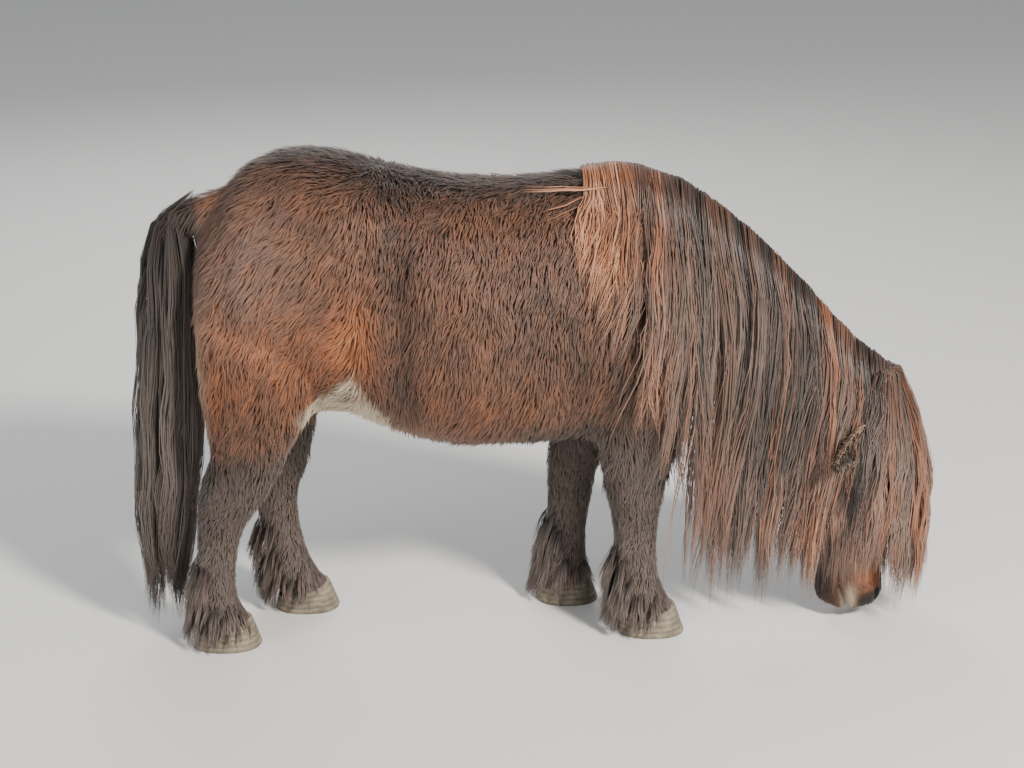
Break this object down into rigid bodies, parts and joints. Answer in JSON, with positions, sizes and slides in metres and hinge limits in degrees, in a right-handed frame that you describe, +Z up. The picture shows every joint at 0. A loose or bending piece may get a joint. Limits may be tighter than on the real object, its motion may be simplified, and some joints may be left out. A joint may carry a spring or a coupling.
{
  "type": "miniature horse figure",
  "caption": "Life-size still model of a shaggy miniature pony grazing, head down, with a long mane, forelock and tail.",
  "frame": {"origin": "on the floor at the middle of the model's box", "axes": "+X towards the head, +Y towards the pony's left, +Z up"},
  "size_m": [1.3787, 0.4144, 0.8385],
  "materials": {
    "coat": "matt brown winter coat",
    "mane_and_neck_coat": "dark brown hair, bleached to copper in strands",
    "face_coat_and_forelock": "reddish brown hair",
    "tail_hair": "black-brown hair",
    "leg_coat": "black-brown matt hair",
    "ear_coat": "short brown hair",
    "hoof_horn": "pale dusty horn",
    "eye": "polished dark brown"
  },
  "bodies": {
    "root": {"torso": "coat", "neck": "mane_and_neck_coat", "head": "face_coat_and_forelock", "tail": "tail_hair", "leg_fore_right": "leg_coat", "leg_fore_left": "leg_coat", "leg_hind_right": "leg_coat", "leg_hind_left": "leg_coat", "hoof_fore_right": "hoof_horn", "hoof_fore_left": "hoof_horn", "hoof_hind_right": "hoof_horn", "hoof_hind_left": "hoof_horn", "ear_right": "ear_coat", "ear_left": "ear_coat", "eye_right": "eye", "eye_left": "eye"}
  },
  "joints": []
}
